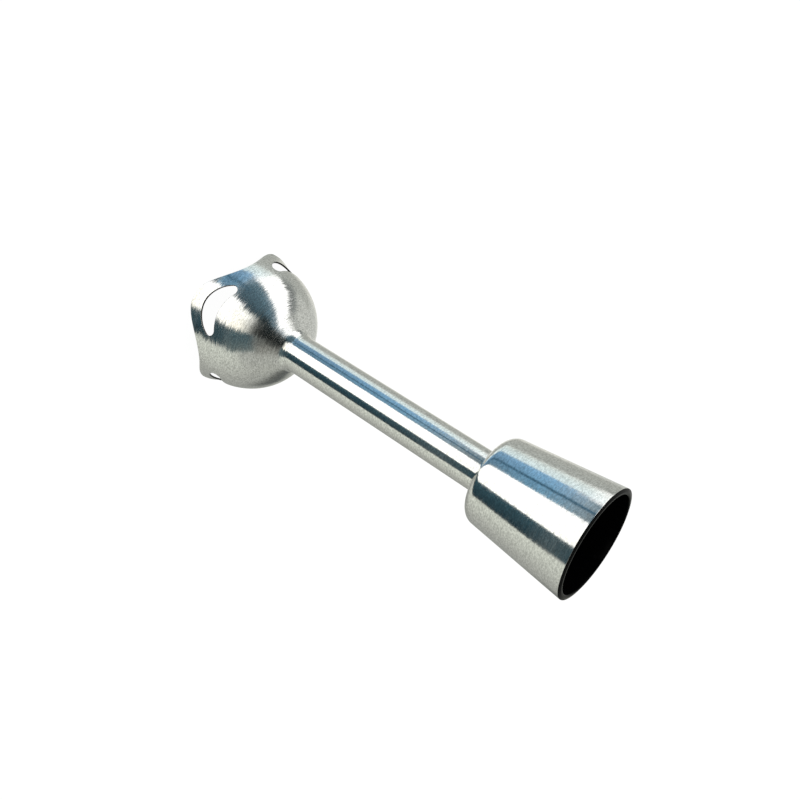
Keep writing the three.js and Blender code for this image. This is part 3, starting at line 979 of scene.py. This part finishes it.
def blade_section(x):
    """Section of the blade at a station, anticlockwise from +X, with the cutting edge ground."""
    way = 1 if x >= 0 else -1
    far = abs(x)
    lead = BLADE_HALF_WIDTH - LEAD_SWEEP * max((far - 3) / 18, 0) ** 2
    trail = -BLADE_HALF_WIDTH + TRAIL_SWEEP * min(max((far + 1) / 20, 0), 1) ** 0.8
    past_round = max((far - BLADE_ROUND) / (BLADE_TIP - BLADE_ROUND), 0)
    pinch = math.sqrt(max(1 - past_round**2, TIP_PINCH**2))
    middle = (lead + trail) / 2
    lead, trail = middle + (lead - middle) * pinch, middle + (trail - middle) * pinch
    keen = min(max((far - GRIND_START) / GRIND_RUN, 0), 1)
    low = BLADE_BASE + way * BLADE_CRANK * max(far - BLADE_FLAT, 0) / (CRANK_END - BLADE_FLAT)
    high = low + BLADE_THICKNESS
    points = [
        (trail + 0.1, low), (lead - BURR, low), (lead, low + BURR), (lead, high - BURR - 0.85 * keen),
        (lead - BURR - GRIND_WIDTH * keen * pinch, high), (trail + 0.1, high), (trail, high - 0.1),
        (trail, low + 0.1),
    ]
    return [(x, way * y, z) for y, z in (points if way > 0 else reversed(points))]


def make_blade():
    """Two swept wings, one cranked up and the other down."""
    wing = [*np.linspace(0.0, 18.0, 37), *np.linspace(18.2, BLADE_TIP, 20)]
    stations = sorted({round(way * x, 4) for way in (1, -1) for x in wing})
    rings = []
    for x in stations:
        ring = blade_section(x)
        if x < 0:
            # The mirrored section starts at the corner that meets the right wing's first one.
            ring = ring[6:] + ring[:6]
        rings.append(ring)
    vertices, faces = loft(rings, closed=False)
    finish_mesh("blade_two_wing", vertices, faces, "drive_train", BLADE, ["blade"], 25)


make_shaft()
make_coupling()
make_circlip()
make_nut()
make_hub()
make_blade()

# CAD nodes whose shape is right keep it and take a finish.
CARRIED = {
    "tube_flange": TURNED,
    "coupling_cross_pin": TURNED,
    "shaft_guide": PALE_NYLON,
    "upper_bearing_housing": GREY_NYLON,
}
for carried_node, carried_material in CARRIED.items():
    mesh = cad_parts[carried_node].data
    mesh.materials.clear()
    mesh.materials.append(carried_material)

# ---------------------------------------------------------------------------
# Studio

# Soft panels that stand round the arm. Each has its azimuth range from -Y, positive towards +X, its
# range of elevation, its two side colours, its brightness, and how soft its upright and level edges
# are in degrees. Later panels stand in front of earlier ones.
PANELS = (
    ("right_wall_top", (0, 176), (-90, 90), ("AEB0AC", "A8AAA2"), 1.13, 8, 8),
    ("back_glow_right", (154, 230), (-90, -14), ("A6A8A2", "DEDED8"), 1.13, 4, 5),
    ("back_glow_left", (-230, -150), (-90, -17), ("FFFFFC", "D0D0C8"), 1.13, 6, 4),
    ("right_wall", (57, 112), (-90, 22), ("D2D6CC", "AAACA6"), 1.13, 1.5, 8),
    ("right_far_wall", (112, 156), (-90, 22), ("A8AAA4", "929490"), 1.13, 3, 8),
    ("right_dark_card", (136, 160), (-14, 34), ("666864", "525656"), 1.13, 8, 4),
    ("left_wall", (-148, -104), (-90, 4), ("ACAEA8", "A8ACA8"), 1.13, 5, 6),
    ("left_streak", (-120, -101), (-8, 42), ("8E9290", "3A4242"), 1.13, 3, 8),
    ("left_spill", (-102, -75.5), (-90, -12), ("D4DCD8", "DCF0F6"), 1.13, 3, 3),
    ("left_softbox", (-105, -69.5), (-13.5, 20), ("FFFFFF", "FFFFFF"), 1.6, 3, 3),
    ("left_softbox_top", (-101.5, -65.5), (16, 80), ("FFFFFF", "FFFFFF"), 1.6, 3, 4),
    ("slate_flag", (-69, -22), (-15, 90), ("5C7886", "30424A"), 1.13, 2.5, 5),
    ("blue_flag", (-75.5, -29), (-90, -17.5), ("80B0D6", "6894AE"), 1.13, 1.5, 4),
    ("blue_flag_low", (-75.5, -29), (-90, -30), ("7397B6", "5E7F94"), 1.13, 1.5, 5),
    ("blue_seam", (-52, -47), (-90, -4), ("34586E", "34586E"), 1.13, 2, 6),
    ("dark_flag", (19, 58.3), (-90, -18), ("34505A", "20323A"), 1.13, 1, 3),
    ("dark_flag_middle", (18, 54), (-18, 8), ("344A52", "2C424A"), 1.13, 1.5, 3),
    ("dark_flag_top", (18, 61), (8, 50), ("34505A", "5E6A6A"), 1.13, 2, 4),
    ("brown_card", (16, 84), (50, 90), ("4C504E", "8C8C86"), 1.13, 8, 6),
    ("front_softbox", (-29.5, 19.8), (-90, -12), ("FFFFFF", "FFFFFA"), 1.6, 1, 3),
    ("front_softbox_middle", (-25.5, 18.6), (-12, 10), ("FFFFFF", "FFFDF6"), 1.6, 1.5, 3),
    ("front_softbox_top", (-18.5, 18.6), (5, 31), ("FFFFFA", "FFFAEA"), 1.4, 3, 9),
    ("ceiling", (-42, 20), (42, 90), ("1C282A", "040606"), 1.13, 6, 5),
    ("zenith", (-62, 70), (70, 90), ("101818", "060808"), 1.13, 8, 4),
)

# A panel that reaches a pole is carried on past it by so many degrees, so that it has no edge there.
PAST_POLE = 60


def panel_mask(graph, value, low, high, soft):
    """1 inside a range and 0 outside it, with a soft edge at both ends."""
    rising = graph.remap(value, low - soft, low + soft)
    falling = graph.remap(value, high - soft, high + soft, 1.0, 0.0)
    return graph.math("MULTIPLY", rising, falling)


def make_studio():
    """The panels as a world that the arm mirrors; the camera sees plain white in its place."""
    world = bpy.data.worlds.new("studio")
    bpy.context.scene.world = world
    world.use_nodes = True
    graph = Graph(world.node_tree)
    direction = graph.add("ShaderNodeTexCoord").outputs["Generated"]
    x, y, z = graph.add("ShaderNodeSeparateXYZ", {0: direction}).outputs
    azimuth = graph.math("DEGREES", graph.math("ARCTAN2", x, graph.math("MULTIPLY", y, -1.0)))
    elevation = graph.math("DEGREES", graph.math("ARCSINE", z))
    shade = colour("CCCEC9")
    for _, (left, right), (low, high), (first, last), power, soft, soft_level in PANELS:
        across = graph.remap(azimuth, left, right, smooth=False)
        face = graph.blend(across, colour(first), colour(last))
        bright = graph.blend(1.0, face, (power, power, power, 1), "MULTIPLY")
        foot = low - PAST_POLE if low <= -90 else low
        head = high + PAST_POLE if high >= 90 else high
        mask = graph.math("MULTIPLY", panel_mask(graph, azimuth, left, right, soft),
                          panel_mask(graph, elevation, foot, head, soft_level))
        shade = graph.blend(mask, shade, bright)
    lit = graph.add("ShaderNodeBackground", {"Color": shade, "Strength": 1.0})
    plain = graph.add("ShaderNodeBackground", {"Color": (1, 1, 1, 1), "Strength": 1.1})
    seen = graph.add("ShaderNodeLightPath").outputs["Is Camera Ray"]
    surface = graph.add("ShaderNodeMixShader", {0: seen, 1: lit.outputs[0], 2: plain.outputs[0]})
    graph.add("ShaderNodeOutputWorld", {"Surface": surface.outputs[0]})


def stage_sheet(name, outline, z, inputs):
    """A flat sheet of the studio from [x, y] corners, with one finish."""
    mesh = bpy.data.meshes.new(name)
    mesh.from_pydata([Vector((x, y, z)) * MM for x, y in outline], [], [tuple(range(len(outline)))])
    sheet = bpy.data.objects.new(name, mesh)
    bpy.context.scene.collection.objects.link(sheet)
    material, graph, _ = new_material(name)
    set_shader(graph, inputs)
    mesh.materials.append(material)
    return sheet


def make_floor():
    """A white table that glows, as a light table does, so that only a faint shadow shows on it."""
    size = 40000.0
    corners = [(-size, -size), (size, -size), (size, size), (-size, size)]
    floor = stage_sheet("floor", corners, -0.2, {
        "Base Color": (0.12, 0.12, 0.12, 1), "Roughness": 0.9,
        "Emission Color": (1, 1, 1, 1), "Emission Strength": 0.97,
    })
    floor.visible_glossy = False


def make_shade_disc():
    """Painted shade: a black card under the guard, standing in for the shadowed table there, that only its
    inside sees, so that the inside stays dark.
    """
    disc = stage_sheet("shade_disc", [polar(32.0, turn, 0)[:2] for turn in full_circle(64)], 0.1, {
        "Base Color": (0.01, 0.01, 0.01, 1), "Roughness": 1.0,
    })
    disc.visible_camera = False
    disc.visible_shadow = False
    disc.visible_diffuse = False


def make_camera():
    """The camera stands over the arm, turned so that the arm lies across the picture."""
    place = Vector((-27.1, -309.7, 283.8)) * MM
    heading, dip, roll = math.radians(2.72), math.radians(-31.76), math.radians(121.54)
    aim = Vector((math.sin(heading) * math.cos(dip), math.cos(heading) * math.cos(dip), math.sin(dip)))
    data = bpy.data.cameras.new("camera")
    data.lens = 35.77
    data.sensor_width = 36.0
    data.shift_x = 0.0227
    data.shift_y = -0.0311
    data.clip_start = 0.01
    camera = bpy.data.objects.new("camera", data)
    bpy.context.scene.collection.objects.link(camera)
    level = aim.to_track_quat("-Z", "Y").to_matrix().to_4x4()
    camera.matrix_world = Matrix.Translation(place) @ level @ Matrix.Rotation(roll, 4, "Z")
    bpy.context.scene.camera = camera


make_studio()
make_floor()
make_shade_disc()
make_camera()
bpy.context.scene.view_settings.view_transform = "Standard"
